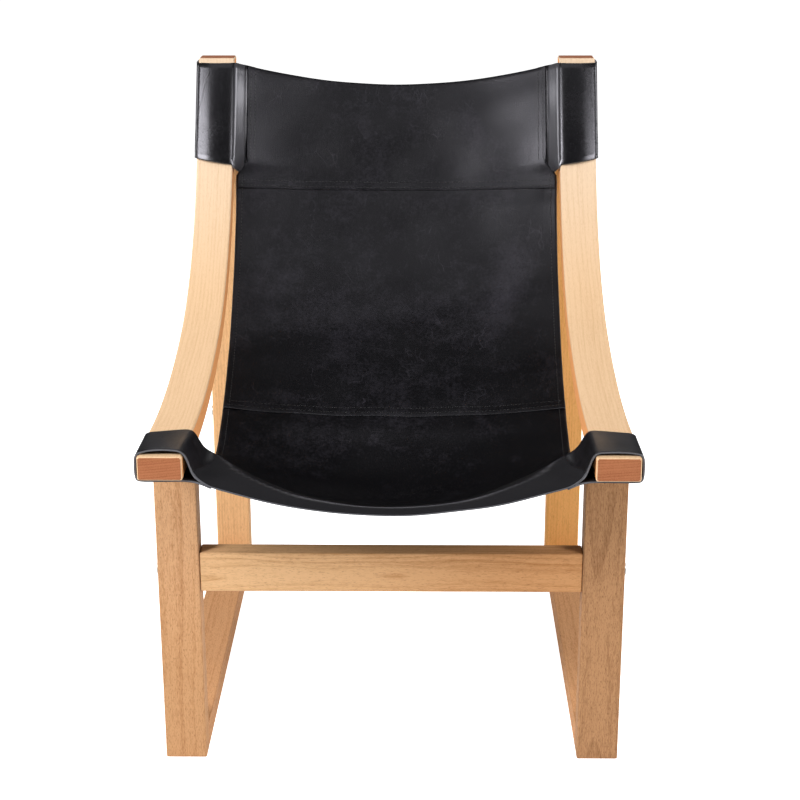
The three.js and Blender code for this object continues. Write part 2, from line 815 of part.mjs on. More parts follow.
function addSide(side, mirror) {
  const group = new THREE.Group();
  group.scale.x = mirror;
  add(group, `${side}_curved_rail`, curvedRail(), railWood);
  add(group, `${side}_front_leg`, frontLeg(), wood);
  add(group, `${side}_rear_leg`, rearLeg(), wood);
  add(group, `${side}_floor_rail`, floorRail(), wood);
  dowelOffsets.forEach((offset, place) => {
    add(group, `${side}_leg_head_dowel_${place + 1}`, dowel(railDowelEnds(offset)), dowelWood);
    add(group, `${side}_floor_front_dowel_${place + 1}`, dowel(floorDowelEnds("front", offset)), dowelWood);
    add(group, `${side}_floor_rear_dowel_${place + 1}`, dowel(floorDowelEnds("rear", offset)), dowelWood);
  });
  screwOffsets.forEach((offset, place) => {
    add(group, `${side}_top_screw_${place + 1}`, topScrew(offset), steel);
  });
  for (const end of ["front", "rear"]) {
    add(group, `${side}_${end}_crossbar_bolt`, crossbarBolt(end), steel);
    add(group, `${side}_${end}_barrel_nut`, barrelNut(end), steel);
    add(group, `${side}_${end}_turn_stop_dowel`, dowel(turnStopEnds(end)), dowelWood);
  }
  add(group, `${side}_front_strap`, frontStrap(), blackLeather);
  add(group, `${side}_top_pocket`, topPocket(), blackLeather);
  chair.add(group);
}

add(chair, "front_crossbar", crossbar("front"), wood);
add(chair, "rear_crossbar", crossbar("rear"), wood);
addSide("left", 1);
addSide("right", -1);
add(chair, "seat_panel", seatPanel(), blackLeather);
add(chair, "back_panel", backPanel(), blackLeather);
add(chair, "top_panel", topPanel(), blackLeather);

// The middle of the floor plan goes to the origin
const box = new THREE.Box3().setFromObject(chair);
chair.position.y = -(box.min.y + box.max.y) / 2;

export default chair;
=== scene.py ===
import math
import bmesh
import bpy
import numpy as np
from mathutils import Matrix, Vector


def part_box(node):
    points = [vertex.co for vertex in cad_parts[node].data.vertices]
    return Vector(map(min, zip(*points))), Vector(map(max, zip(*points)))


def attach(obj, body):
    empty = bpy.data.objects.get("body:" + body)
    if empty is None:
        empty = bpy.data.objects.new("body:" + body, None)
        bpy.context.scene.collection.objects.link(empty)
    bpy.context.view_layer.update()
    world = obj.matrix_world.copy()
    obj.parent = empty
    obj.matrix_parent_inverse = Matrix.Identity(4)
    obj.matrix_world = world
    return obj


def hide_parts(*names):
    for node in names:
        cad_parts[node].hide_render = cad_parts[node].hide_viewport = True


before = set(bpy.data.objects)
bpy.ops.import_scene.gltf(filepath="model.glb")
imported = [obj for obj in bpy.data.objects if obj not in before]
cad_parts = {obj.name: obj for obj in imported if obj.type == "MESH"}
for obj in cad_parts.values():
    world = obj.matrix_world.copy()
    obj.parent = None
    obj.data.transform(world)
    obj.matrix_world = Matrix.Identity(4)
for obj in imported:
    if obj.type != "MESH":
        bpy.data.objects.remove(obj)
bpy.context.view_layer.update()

# Camera
# Stands two metres in front of the seat, a little above the sitter's eye, and looks down at the chair.
# Its place, tilt and lens come from the straight edges of the timber frame.
camera_distance, camera_height, camera_tilt = 2.0546, 1.1953, 18.61


def stand(name, data):
    """Puts an object into the scene."""
    made = bpy.data.objects.new(name, data)
    bpy.context.collection.objects.link(made)
    return made


front_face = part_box("left_front_leg")[0].y
camera = stand("camera", bpy.data.cameras.new("camera"))
camera.location = (0.03684, front_face - camera_distance, camera_height)
camera.rotation_euler = (math.radians(90 - camera_tilt), math.radians(0.081), math.radians(0.667))
camera.data.lens = 78.69
camera.data.sensor_width = 36
camera.data.clip_end = 60
bpy.context.scene.camera = camera

# Floor and light
# A white studio sweep. Two soft boxes stand in front, the sitter's right one brighter; two narrow ones edge the
# sides, a long one hangs behind and a weak one overhead. The room itself is dim, so the black leather stays deep.
bpy.context.scene.view_settings.view_transform = "Standard"
world = bpy.data.worlds.new("studio")
bpy.context.scene.world = world
world.use_nodes = True


def feed(node, inputs):
    """Sets a shader node's inputs; each is a value or the output of another node."""
    for key, value in inputs.items():
        if isinstance(value, bpy.types.NodeSocket):
            node.id_data.links.new(value, node.inputs[key])
        else:
            node.inputs[key].default_value = value


def add_node(tree, kind, inputs=None, **settings):
    """A new shader node in a tree; the helpers below put theirs into the tree of their first value."""
    made = tree.nodes.new("ShaderNode" + kind)
    for key, value in settings.items():
        setattr(made, key, value)
    feed(made, inputs or {})
    return made


def ramp(value, low, high, start=0.0, end=1.0, kind="LINEAR"):
    inputs = {0: value, 1: low, 2: high, 3: start, 4: end}
    return add_node(value.id_data, "MapRange", inputs, interpolation_type=kind).outputs[0]


seen = add_node(world.node_tree, "LightPath").outputs["Is Camera Ray"]
feed(world.node_tree.nodes["Background"], {"Color": (1, 1, 1, 1), "Strength": ramp(seen, 0.0, 1.0, 0.08, 1.0)})


def soft_box(name, place, aim, size, power):
    light = bpy.data.lights.new(name, "AREA")
    light.shape = "RECTANGLE"
    light.size, light.size_y = size
    light.energy = power
    holder = stand(name, light)
    holder.location = place
    holder.rotation_euler = (Vector(aim) - Vector(place)).to_track_quat("-Z", "Y").to_euler()


soft_box("box_key", (-1.95, -1.75, 2.1), (0, 0, 0.6), (0.9, 1.4), 86)
soft_box("box_fill", (2.0, -1.7, 2.0), (0, 0, 0.6), (0.8, 1.3), 47)
soft_box("box_right_edge", (-2.3, 0.45, 1.0), (0, 0.2, 0.6), (0.6, 1.6), 24)
soft_box("box_left_edge", (2.3, 0.45, 1.0), (0, 0.2, 0.6), (0.6, 1.6), 28)
soft_box("box_behind", (0.0, 2.7, 2.5), (0, -0.2, 0.5), (2.6, 0.8), 13)
soft_box("box_overhead", (0.0, -0.75, 2.85), (0, 0.15, 0.5), (2.2, 1.2), 6.3)


def new_finish(name):
    """A new material, its node tree and its shader."""
    finish = bpy.data.materials.new(name)
    finish.use_nodes = True
    return finish, finish.node_tree, finish.node_tree.nodes["Principled BSDF"]


floor_mesh = bpy.data.meshes.new("floor")
floor_mesh.from_pydata([(-14, -8, 0), (14, -8, 0), (14, 20, 0), (-14, 20, 0)], [], [(0, 1, 2, 3)])
floor = stand("floor", floor_mesh)
studio_floor, tree, shader = new_finish("studio_floor")
feed(shader, {"Base Color": (0.93, 0.93, 0.93, 1), "Roughness": 0.9, "Emission Strength": 1.0,
              "Emission Color": add_node(tree, "LightPath").outputs["Is Camera Ray"]})
floor_mesh.materials.append(studio_floor)

# Curved rails
# Each rail is one board of thin beech layers, glued up in a bending form: flat at the front, then two bends
# up to the head of the back. Its edges are eased and its top end is cut level.
rail_width = 0.054
rail_thickness = 0.030
rail_overhang = 0.115
rail_front_height = 0.470
rail_front_fall = math.radians(2.2)
rail_front_length = 0.125
rail_top_length = 0.147
lower_bend_radius, lower_bend_turn = 0.925, math.radians(18.2)
upper_bend_radius, upper_bend_turn = 0.413, math.radians(47.0)
rail_runs = [
    (rail_front_length, 0.0), (lower_bend_radius * lower_bend_turn, lower_bend_turn),
    (upper_bend_radius * upper_bend_turn, upper_bend_turn), (rail_top_length, 0.0)]
rail_length = sum(length for length, turn in rail_runs)
rail_outer_face = 0.300
rail_inner_face = rail_outer_face - rail_width
rail_eased_edge = 0.0026


def rail_line(travel):
    """y, z and slope of the rail's upper face, at a travel along it from its front end."""
    y, z = front_face - rail_overhang, rail_front_height
    angle, left = -rail_front_fall, travel
    for number, (length, turn) in enumerate(rail_runs):
        used = left if number == 3 else min(left, length)
        turned = turn * used / length
        chord = used if turned == 0 else 2 * used / turned * math.sin(turned / 2)
        y += chord * math.cos(angle + turned / 2)
        z += chord * math.sin(angle + turned / 2)
        angle += turned
        left -= used
    return y, z, angle


rail_travels = np.arange(-0.03, rail_length + 0.12, 0.001)
rail_table = np.array([rail_line(travel) for travel in rail_travels])
rail_top_angle = rail_table[-1, 2]
rail_top_height = rail_line(rail_length)[1]


def rail_place(travel, drop):
    """y and z of a point below the rail's upper face, square to it."""
    y, z, angle = (np.interp(travel, rail_travels, rail_table[:, k]) for k in range(3))
    return y + drop * np.sin(angle), z - drop * np.cos(angle)


def rail_face_y(z):
    """Where the rail's upper face is at a height, in its rising part."""
    rising = rail_table[:, 2] > 0
    return np.interp(z, rail_table[rising, 1], rail_table[rising, 0])


def add_piece(name, mesh, replaced=None):
    """Puts a piece of the chair into the scene, in place of a plain solid where one is named."""
    piece = stand(name, mesh)
    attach(piece, "root")
    if replaced:
        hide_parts(replaced)
    return piece


def timber_board(name, points, faces, grain, along, edge, finishes, replaced):
    """A board with eased edges. grain gives each point's place along, across and through the timber. The
    finishes are for its faces, its ends and, if there is a third, its sides."""
    bm = bmesh.new()
    corners = [bm.verts.new(point) for point in points]
    for face in faces:
        bm.faces.new([corners[k] for k in face])
    bmesh.ops.recalc_face_normals(bm, faces=bm.faces)
    sharp = [e for e in bm.edges if e.calc_face_angle(0) > math.radians(25)]
    bmesh.ops.bevel(bm, geom=sharp, offset=edge, segments=3, profile=0.5, affect="EDGES", clamp_overlap=True)
    mesh = bpy.data.meshes.new(name)
    bm.to_mesh(mesh)
    bm.free()
    places = np.array([v.co for v in mesh.vertices])
    layer = mesh.attributes.new("grain", "FLOAT_VECTOR", "POINT")
    layer.data.foreach_set("vector", grain(places).astype(np.float32).ravel())
    for finish in finishes:
        mesh.materials.append(finish)
    for polygon in mesh.polygons:
        polygon.use_smooth = True
        if abs(polygon.normal.dot(along(polygon.center))) > 0.95:
            polygon.material_index = 1
        elif len(finishes) > 2 and abs(polygon.normal.x) > 0.97:
            polygon.material_index = 2
    add_piece(name, mesh, replaced).modifiers.new("even_shading", "WEIGHTED_NORMAL").keep_sharp = True


def maths(operation, first, second=0.0, third=0.0):
    return add_node(first.id_data, "Math", {0: first, 1: second, 2: third}, operation=operation).outputs[0]


def times(first, second, plus=None):
    return maths("MULTIPLY", first, second) if plus is None else maths("MULTIPLY_ADD", first, second, plus)


def swing(value, amount, onto, middle=0.5):
    """Adds a value's distance from its middle, times an amount, onto another."""
    return times(maths("SUBTRACT", value, middle), amount, onto)


def move(operation, place, other):
    """A place in the pattern, multiplied by or added to another."""
    key = "Scale" if operation == "SCALE" else 1
    return add_node(place.id_data, "VectorMath", {0: place, key: other}, operation=operation).outputs[0]


def noise(place, scale, detail, rough=0.5, output="Fac"):
    inputs = {"Vector": place, "Scale": scale, "Detail": detail, "Roughness": rough}
    return add_node(place.id_data, "TexNoise", inputs).outputs[output]


def blend(factor, first, second):
    return add_node(factor.id_data, "Mix", {0: factor, 6: first, 7: second}, data_type="RGBA").outputs[2]


def surface_group(name, inputs):
    """A node group that puts out a colour, a roughness and a height. Each input is a colour, a number or, for a
    place, None."""
    group = bpy.data.node_groups.new(name, "ShaderNodeTree")
    for label, value in inputs.items():
        kind = "Vector" if value is None else "Color" if isinstance(value, tuple) else "Float"
        socket = group.interface.new_socket(label, in_out="INPUT", socket_type="NodeSocket" + kind)
        if value is not None:
            socket.default_value = value
    for label, kind in (("Color", "Color"), ("Roughness", "Float"), ("Height", "Float")):
        group.interface.new_socket(label, in_out="OUTPUT", socket_type="NodeSocket" + kind)
    return group, group.nodes.new("NodeGroupInput").outputs, group.nodes.new("NodeGroupOutput")


timber_figure, entry, leave = surface_group("timber_figure", {
    "Grain": None, "Pale": (0.8, 0.6, 0.4, 1), "Deep": (0.6, 0.4, 0.2, 1), "Fleck": (0.3, 0.15, 0.07, 1),
    "Ring Width": 0.003, "Wander": 0.01, "Ring Strength": 0.5, "Fleck Strength": 0.5})
tree = timber_figure
grain = entry["Grain"]
sway = noise(move("MULTIPLY", grain, (2.6, 11, 11)), 1, 2, output="Color")
swayed = move("SCALE", move("SUBTRACT", sway, (0.5, 0.5, 0.5)), entry["Wander"])
bent = move("ADD", grain, swayed)
parts = add_node(tree, "SeparateXYZ", {0: bent}).outputs
squares = [times(parts[k], parts[k]) for k in (1, 2)]
year = maths("DIVIDE", maths("SQRT", maths("ADD", *squares)), entry["Ring Width"])
season = maths("FRACT", year)
late = ramp(season, 0.35, 0.92, kind="SMOOTHSTEP")
winter = ramp(season, 0.92, 1.0, 1.0, 0.0, kind="SMOOTHSTEP")
ring = times(late, winter)
tone = add_node(tree, "TexWhiteNoise", {"W": maths("FLOOR", year)}, noise_dimensions="1D").outputs["Value"]
fibre = noise(move("MULTIPLY", bent, (16, 620, 620)), 1, 3, 0.6)
speck = noise(move("MULTIPLY", grain, (230, 1250, 1250)), 1, 1)
pore = noise(move("MULTIPLY", grain, (100, 600, 600)), 1, 2, 0.7)
cloud = noise(move("MULTIPLY", grain, (3, 34, 34)), 1, 2)
flecks = times(ramp(speck, 0.54, 0.78, kind="SMOOTHSTEP"), entry["Fleck Strength"])
depth = times(ring, entry["Ring Strength"])
depth = swing(tone, times(entry["Ring Strength"], 0.7), depth)
depth = swing(fibre, 1.3, depth)
depth = swing(cloud, 0.7, depth, middle=0.4)
depth = swing(pore, times(entry["Fleck Strength"], 3.6), depth)
depth = maths("MINIMUM", maths("MAXIMUM", depth, 0.0), 1.0)
body = blend(depth, entry["Pale"], entry["Deep"])
rough = times(flecks, 0.2, times(fibre, 0.16, 0.44))
height = times(flecks, -1.0, times(fibre, 0.5))
feed(leave, {"Color": blend(flecks, body, entry["Fleck"]), "Roughness": rough, "Height": height})


def feed_surface(tree, shader, colour, made, relief, depth, specular):
    bump = add_node(tree, "Bump", {"Height": made["Height"], "Strength": relief, "Distance": depth})
    feed(shader, {"Base Color": colour, "Roughness": made["Roughness"], "Normal": bump.outputs["Normal"],
                  "Specular IOR Level": specular})


def timber_finish(name, pale, deep, fleck, rings, fleck_strength, relief, heart=(0, 0, 0), fade=None):
    """A lacquered timber finish whose figure follows the board's grain. rings holds their width, how far they
    wander and their strength, and heart moves their middle. fade holds a start, an end and a colour along the
    grain, where the board turns paler or darker."""
    finish, tree, shader = new_finish(name)
    grain = add_node(tree, "Attribute", attribute_name="grain").outputs["Vector"]
    figure = add_node(tree, "Group", {
        "Grain": move("ADD", grain, heart), "Pale": (*pale, 1), "Deep": (*deep, 1), "Fleck": (*fleck, 1),
        "Ring Width": rings[0], "Wander": rings[1], "Ring Strength": rings[2], "Fleck Strength": fleck_strength,
    }, node_tree=timber_figure).outputs
    colour = figure["Color"]
    if fade:
        start, end, shade = fade
        along = add_node(tree, "SeparateXYZ", {0: grain}).outputs[0]
        toned = blend(ramp(along, start, end, kind="SMOOTHSTEP"), (1, 1, 1, 1), (*shade, 1))
        mixed = add_node(tree, "Mix", {0: 1.0, 6: colour, 7: toned}, data_type="RGBA", blend_type="MULTIPLY")
        colour = mixed.outputs[2]
    feed_surface(tree, shader, colour, figure, relief, 0.0003, 0.08)
    return finish


rail_rings = (0.0030, 0.012, 0.30)
# The fade turns the rail's face paler towards its upper end: a painted sheen, standing in for the light that the rising
# face reflects.
rail_face_wood = timber_finish(
    "bent_beech", (0.76, 0.52, 0.315), (0.63, 0.395, 0.21), (0.48, 0.27, 0.13), rail_rings, 0.3, 0.35,
    fade=(0.8, 1.15, (1.0, 1.12, 1.33)))
rail_side_wood = timber_finish(
    "bent_beech_side", (0.93, 0.42, 0.165), (0.77, 0.32, 0.11), (0.5, 0.19, 0.06), rail_rings, 0.3, 0.35)
rail_end_wood = timber_finish(
    "bent_beech_end", (0.41, 0.155, 0.070), (0.29, 0.098, 0.042), (0.20, 0.065, 0.028), (0.0034, 0.004, 0.6), 0.5,
    0.5, heart=(0, 0, 0.7))


def nearest_on_rail(place):
    return np.argmin(((rail_table[:, :2] - np.array(place[1:])) ** 2).sum(1))


def rail_grain(shift):
    def grain(places):
        found = np.array([nearest_on_rail(place) for place in places])
        y, z, angle = rail_table[found].T
        behind, above = places[:, 1] - y, places[:, 2] - z
        over = behind * np.cos(angle) + above * np.sin(angle)
        drop = behind * np.sin(angle) - above * np.cos(angle)
        return np.stack([rail_travels[found] + over + shift[0], places[:, 0] + shift[1], drop + shift[2]], 1)
    return grain


def rail_direction(place):
    """Which way the rail runs; at its level end, straight up."""
    angle = rail_table[nearest_on_rail(place), 2]
    return Vector((0, 0, 1)) if place.z > rail_top_height - 0.001 else Vector((0, math.cos(angle), math.sin(angle)))


bends_start, bends_end = rail_front_length, rail_length - rail_top_length
bends_meet = bends_start + rail_runs[1][0]
rail_steps = [
    0.0, 0.05, 0.1, *np.linspace(bends_start, bends_meet, 19)[:-1], *np.linspace(bends_meet, bends_end, 48)[:-1],
    *np.linspace(bends_end, rail_length, 4)]
level_end = rail_length + rail_thickness / math.tan(rail_top_angle)

for side, sign, shift in (("left", 1, (0.31, -0.21, 0.135)), ("right", -1, (0.31, 0.36, 0.12))):
    points, faces = [], []
    for travel in rail_steps:
        under_travel = travel if travel < rail_length else level_end
        for y, z in (rail_place(travel, 0), rail_place(under_travel, rail_thickness)):
            points += [(sign * rail_inner_face, y, z), (sign * rail_outer_face, y, z)]
    last = 4 * (len(rail_steps) - 1)
    for a in range(0, last, 4):
        faces += [[a + k for k in corners] for corners in ((0, 1, 5, 4), (2, 6, 7, 3), (0, 4, 6, 2), (1, 3, 7, 5))]
    faces += [(0, 2, 3, 1), (last, last + 1, last + 3, last + 2)]
    timber_board(f"{side}_bent_rail", points, faces, rail_grain(shift), rail_direction, rail_eased_edge,
                 [rail_face_wood, rail_end_wood, rail_side_wood], f"{side}_curved_rail")

# Legs and floor rails
# Straight beech boards, planed and eased along their edges. Two legs and a floor rail make each side a sled;
# the rear leg's head is cut to a bevel that lies against the rail's back.
leg_wood = timber_finish(
    "beech_leg", (0.66, 0.375, 0.195), (0.46, 0.225, 0.10), (0.25, 0.105, 0.045), (0.0042, 0.012, 0.35), 0.7, 0.6,
    fade=(2.45, 2.2, (0.87, 0.84, 0.78)))
cathedral_wood = timber_finish(
    "beech_leg_plain_sawn", (0.47, 0.25, 0.12), (0.30, 0.145, 0.065), (0.14, 0.06, 0.026), (0.0040, 0.022, 0.45),
    0.75, 0.6)
pale_leg_wood = timber_finish(
    "beech_leg_pale", (0.87, 0.52, 0.255), (0.65, 0.34, 0.15), (0.38, 0.18, 0.08), (0.0038, 0.010, 0.35), 0.4, 0.5)
golden_leg_wood = timber_finish(
    "beech_leg_golden", (0.91, 0.465, 0.155), (0.72, 0.33, 0.09), (0.42, 0.16, 0.04), (0.0038, 0.010, 0.35), 0.4, 0.5)
floor_rail_wood = timber_finish(
    "beech_floor_rail", (0.62, 0.33, 0.16), (0.45, 0.205, 0.085), (0.24, 0.095, 0.035), (0.0040, 0.012, 0.35), 0.6,
    0.6)
board_end_wood = timber_finish(
    "beech_end", (0.47, 0.23, 0.12), (0.34, 0.15, 0.07), (0.2, 0.08, 0.04), (0.0036, 0.005, 0.5), 0.5, 0.5)
joint_gap = 0.0003
board_eased_edge = 0.002


def straight_board(name, ends, outline, order, shift, finish, replaced):
    """A board from one x to the other, from its outline seen from the side. order gives the grain's axes."""
    count = len(outline)
    points = [(x, y, z) for x in ends for y, z in outline]
    faces = [tuple(range(count)), tuple(range(count, 2 * count))]
    faces += [(k, (k + 1) % count, (k + 1) % count + count, k + count) for k in range(count)]
    direction = Vector([float(axis == order[0]) for axis in range(3)])

    def grain(places):
        return places[:, order] + np.array(shift)

    timber_board(name, points, faces, grain, lambda place: direction, board_eased_edge, [finish, board_end_wood],
                 replaced)


def rectangle(low, high):
    return [(low.y, low.z), (high.y, low.z), (high.y, high.z), (low.y, high.z)]


def under_rail(y):
    """Height of the rail's underside over a place near the front leg, less the joint's gap."""
    travel = (y - (front_face - rail_overhang)) / math.cos(rail_front_fall)
    return rail_place(travel, rail_thickness)[1] - joint_gap


rear_low, rear_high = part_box("left_rear_leg")
leg_depth = 0.032
leg_back = front_face + leg_depth
behind_y, behind_z = rail_place(rail_length, rail_thickness)
slope = math.tan(rail_top_angle)
bevel_gap = joint_gap / math.sin(rail_top_angle)
front_outline = [(front_face, 0), (leg_back, 0), (leg_back, under_rail(leg_back)), (front_face, under_rail(front_face))]
rear_outline = [
    (rear_low.y, 0),
    (rear_high.y, 0),
    (rear_high.y, rear_high.z),
    (behind_y + (rear_high.z - behind_z) / slope + bevel_gap, rear_high.z),
    (rear_low.y, behind_z + (rear_low.y - bevel_gap - behind_y) * slope),
]
for side, sign, front_wood, front_shift, rear_wood, rear_shift, floor_shift in (
    ("left", 1, cathedral_wood, (0.7, -0.268, 0.33), golden_leg_wood, (3.2, -0.1, -0.2), (5.1, -0.2, 0.1)),
    ("right", -1, leg_wood, (2.1, 0.31, 0.43), pale_leg_wood, (4.4, 0.13, -0.22), (6.3, 0.2, 0.12)),
):
    ends = (sign * rail_inner_face, sign * rail_outer_face)
    straight_board(f"{side}_front_leg_board", ends, front_outline, [2, 0, 1], front_shift, front_wood,
                   f"{side}_front_leg")
    straight_board(f"{side}_rear_leg_board", ends, rear_outline, [2, 0, 1], rear_shift, rear_wood, f"{side}_rear_leg")
    straight_board(f"{side}_floor_rail_board", ends, rectangle(*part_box(f"{side}_floor_rail")), [1, 0, 2], floor_shift,
                   floor_rail_wood, f"{side}_floor_rail")

# Crossbars
# Two beech bars set between the side frames with their broad faces upright, each held by a bolt and kept from
# turning by a dowel at either end.
# The fade darkens the front bar towards the sitter's left end: painted shade, as the key light falls from the sitter's
# right. The rear bar lies wholly in the darker part.
bar_wood = timber_finish(
    "beech_crossbar", (0.73, 0.45, 0.235), (0.54, 0.29, 0.125), (0.28, 0.125, 0.05), (0.0036, 0.024, 0.55), 0.45, 0.6,
    fade=(0.72, 1.12, (0.82, 0.68, 0.57)))
for end, along in (("front", 0.9), ("rear", 2.6)):
    low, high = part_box(f"{end}_crossbar")
    straight_board(f"{end}_crossbar_board", (low.x, high.x), rectangle(low, high), [0, 2, 1],
                   (along, -0.262, -0.046 - low.y), bar_wood, f"{end}_crossbar")

# Bolts, barrel nuts, dowels and screws
# Plated steel bolts with low round heads and hex sockets clamp each crossbar to a barrel nut in its back.
# Turned beech dowels and countersunk screws join the side frames' boards.
plated_steel, tree, shader = new_finish("plated_steel")
brushed = noise(add_node(tree, "TexCoord").outputs["Object"], 1400, 3)
feed(shader, {"Base Color": blend(brushed, (0.62, 0.60, 0.57, 1), (0.50, 0.49, 0.47, 1)), "Metallic": 1.0,
              "Roughness": ramp(brushed, 0.0, 1.0, 0.24, 0.46)})

dowel_wood, tree, shader = new_finish("turned_beech")
figure = add_node(tree, "Group", {"Grain": add_node(tree, "TexCoord").outputs["Object"], "Pale": (0.72, 0.5, 0.3, 1),
                                  "Deep": (0.55, 0.36, 0.2, 1)}, node_tree=timber_figure).outputs
feed(shader, {"Base Color": figure["Color"], "Roughness": figure["Roughness"]})

for name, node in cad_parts.items():
    if "dowel" in name or "screw" in name or "nut" in name:
        node.data.materials.clear()
        node.data.materials.append(dowel_wood if "dowel" in name else plated_steel)

bolt_sides = 40


def turned_part(name, profile, centre, outward, replaced):
    """A turned steel part: profile is (radius, distance outward) from tip to head, closed on its axis."""
    turns = [2 * math.pi * k / bolt_sides for k in range(bolt_sides)]
    bm = bmesh.new()
    rings = [[bm.verts.new((centre[0] + outward * reach, centre[1] + radius * math.cos(turn),
                            centre[2] + radius * math.sin(turn))) for turn in turns] for radius, reach in profile]
    for lower, upper in zip(rings, rings[1:]):
        for k in range(bolt_sides):
            near = (k + 1) % bolt_sides
            bm.faces.new((lower[k], lower[near], upper[near], upper[k]))
    bm.faces.new(rings[0])
    bm.faces.new(rings[-1])
    bmesh.ops.recalc_face_normals(bm, faces=bm.faces)
    mesh = bpy.data.meshes.new(name)
    bm.to_mesh(mesh)
    bm.free()
    mesh.shade_smooth()
    mesh.set_sharp_from_angle(angle=math.radians(32))
    mesh.materials.append(plated_steel)
    add_piece(name, mesh, replaced)


head_profile = [
    (8.5, 0.0), (8.5, 1.0), (8.3, 1.5), (7.8, 2.0), (6.9, 2.4), (5.6, 2.6), (3.8, 2.7), (3.3, 2.55), (3.0, 2.2),
    (3.0, 0.9), (2.2, 0.5)]
for side, sign in (("left", 1), ("right", -1)):
    for end in ("front", "rear"):
        low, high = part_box(f"{side}_{end}_crossbar_bolt")
        middle = (low + high) / 2
        tip = abs(low.x if side == "left" else high.x) - rail_outer_face
        profile = [(0.0032, tip), (0.004, tip + 0.0008), (0.004, -0.0002)]
        profile += [(radius / 1000, joint_gap + reach / 1000) for radius, reach in head_profile]
        turned_part(f"{side}_{end}_bolt", profile, (sign * rail_outer_face, middle.y, middle.z), sign,
                    f"{side}_{end}_crossbar_bolt")

# Sling panels
# Three pieces of black saddle leather, lapped and stitched into one sling. The long edges are folded under
# and stitched; the crosswise edges are cut square and rubbed with edge paint.
leather = 0.0028
fold_leather = 0.0015
edge_rounding = 0.14
hem_width = 0.018
seat_half_width = 0.222
sling_half_width = 0.242
top_half_width = 0.226
lower_seam_share = 0.42
upper_seam_share = 0.788
seam_bow = 0.006
hem_start = 0.1123
strap_front_travel = 0.0072
strap_back_travel = 0.100
crest_turn = 0.0022
station_shares = np.array([
    0.008, 0.0212, 0.0398, 0.0663, 0.098, 0.14, 0.2, 0.26, 0.32, 0.37, 0.42, 0.5, 0.6, 0.7, 0.79, 0.83, 0.89, 0.993])
side_drops = 0.109 * np.array([
    0.193, 0.22, 0.139, 0.168, 0.18, 0.375, 0.65, 0.87, 1, 0.97, 0.88, 0.71, 0.515, 0.38, 0.243, 0.197, 0.162, 0.15])
middle_drops = 0.154 * np.array([
    0.429, 0.442, 0.4825, 0.545, 0.636, 0.747, 0.883, 0.98, 0.98, 0.89, 0.766, 0.623, 0.526, 0.447, 0.372, 0.353,
    0.354, 0.388])


def smooth_between(stations, values, at):
    """Values read between stations on a smooth curve through them."""
    rise, run = (np.pad(known, 1, "edge")[2:] - np.pad(known, 1, "edge")[:-2] for known in (values, stations))
    slopes = rise / run
    place = np.clip(np.searchsorted(stations, at, side="left") - 1, 0, len(stations) - 2)
    width = stations[place + 1] - stations[place]
    part = (at - stations[place]) / width
    return ((2 * part**3 - 3 * part**2 + 1) * values[place] + (part**3 - 2 * part**2 + part) * slopes[place] * width
            + (3 * part**2 - 2 * part**3) * values[place + 1] + (part**3 - part**2) * slopes[place + 1] * width)


def ease(value, start, end):
    part = np.clip((np.asarray(value, float) - start) / (end - start), 0, 1)
    return part * part * (3 - 2 * part)


def sling_half(share):
    """Half the sling's width: narrower between the straps and between the pockets."""
    narrower = (seat_half_width - sling_half_width) * (1 - ease(share, 0.1, 0.24))
    return sling_half_width + narrower + (top_half_width - sling_half_width) * ease(share, 0.804, 0.832)


def hem_half(share):
    """Half the width over the folded hems, drawn in a little just behind the straps."""
    return sling_half(share) - 0.005 * (1 - ease(share, 0.113, 0.132))


def sling_planes(share, x):
    """Drops of the two shapes that meet in the seat's crest: the hollow of the sling, and the front that turns
    down to the front edge."""
    side = smooth_between(station_shares, side_drops, share)
    middle = smooth_between(station_shares, middle_drops, share)
    across = 1 - (x / sling_half(share)) ** 2
    inner, outer = np.maximum(across, 0), np.maximum(-across, 0)
    front_travel = share * rail_length - strap_front_travel
    front = 0.036 + 0.0375 * across - (0.13 + 0.168 * inner**2.68 + 0.6 * outer) * front_travel
    return side + (middle - side) * across, front


def sling_drop(share, x):
    """How far the leather's upper surface lies under the line of the rails' upper faces."""
    hollow, front = sling_planes(share, x)
    ripple = 0.0008 * np.sin(40 * share + 20 * x + 0.7) * np.sin(33 * x - 14 * share + 1.9)
    ripple += 0.0005 * np.sin(69 * share - 44 * x + 2.2) * np.sin(21 * x + 27 * share)
    return (hollow + front + np.sqrt((hollow - front) ** 2 + crest_turn**2)) / 2 + ripple


# Towards the rails' front ends the leather rises out of the hollow, up to the straps.
rise_at_front = np.array([
    (0, 0), (206, 0), (214, 0.6), (221, 2.5), (227.5, 5.5), (232.5, 9.7), (236, 15.6), (238, 20)]) / 1000
rise_at_back = np.array([
    (0, 0), (206, 0), (222, 0), (226, -0.8), (231, -0.5), (235.2, 1.8), (238.8, 5.6), (240, 7)]) / 1000


def corner_drop(share, x):
    part = ease(share * rail_length, strap_front_travel, strap_back_travel)
    rise = 0
    for weight, table in ((1 - part, rise_at_front), (part, rise_at_back)):
        reach = np.minimum(np.abs(x), table[-1, 0] - 0.0001)
        rise = rise + weight * smooth_between(table[:, 0], table[:, 1], reach)
    return sling_drop(share, x) - rise * (share < hem_start)


def hung_surface(drop_at):
    """The leather's upper surface, as a function that gives an array of points."""
    def surface(share, x):
        share, x = np.broadcast_arrays(np.asarray(share, float), np.asarray(x, float))
        return np.stack([x, *rail_place(share * rail_length, drop_at(share, x))], -1)
    return surface


sling_surface, corner_surface = hung_surface(sling_drop), hung_surface(corner_drop)


def unit(vectors):
    return vectors / np.maximum(np.linalg.norm(vectors, axis=-1, keepdims=True), 1e-12)


def surface_normal(share, x, surface=sling_surface):
    step = 0.0008
    along = surface(np.asarray(share) + step, x) - surface(np.asarray(share) - step, x)
    over = surface(share, np.asarray(x) + step) - surface(share, np.asarray(x) - step)
    return unit(np.cross(over, along))


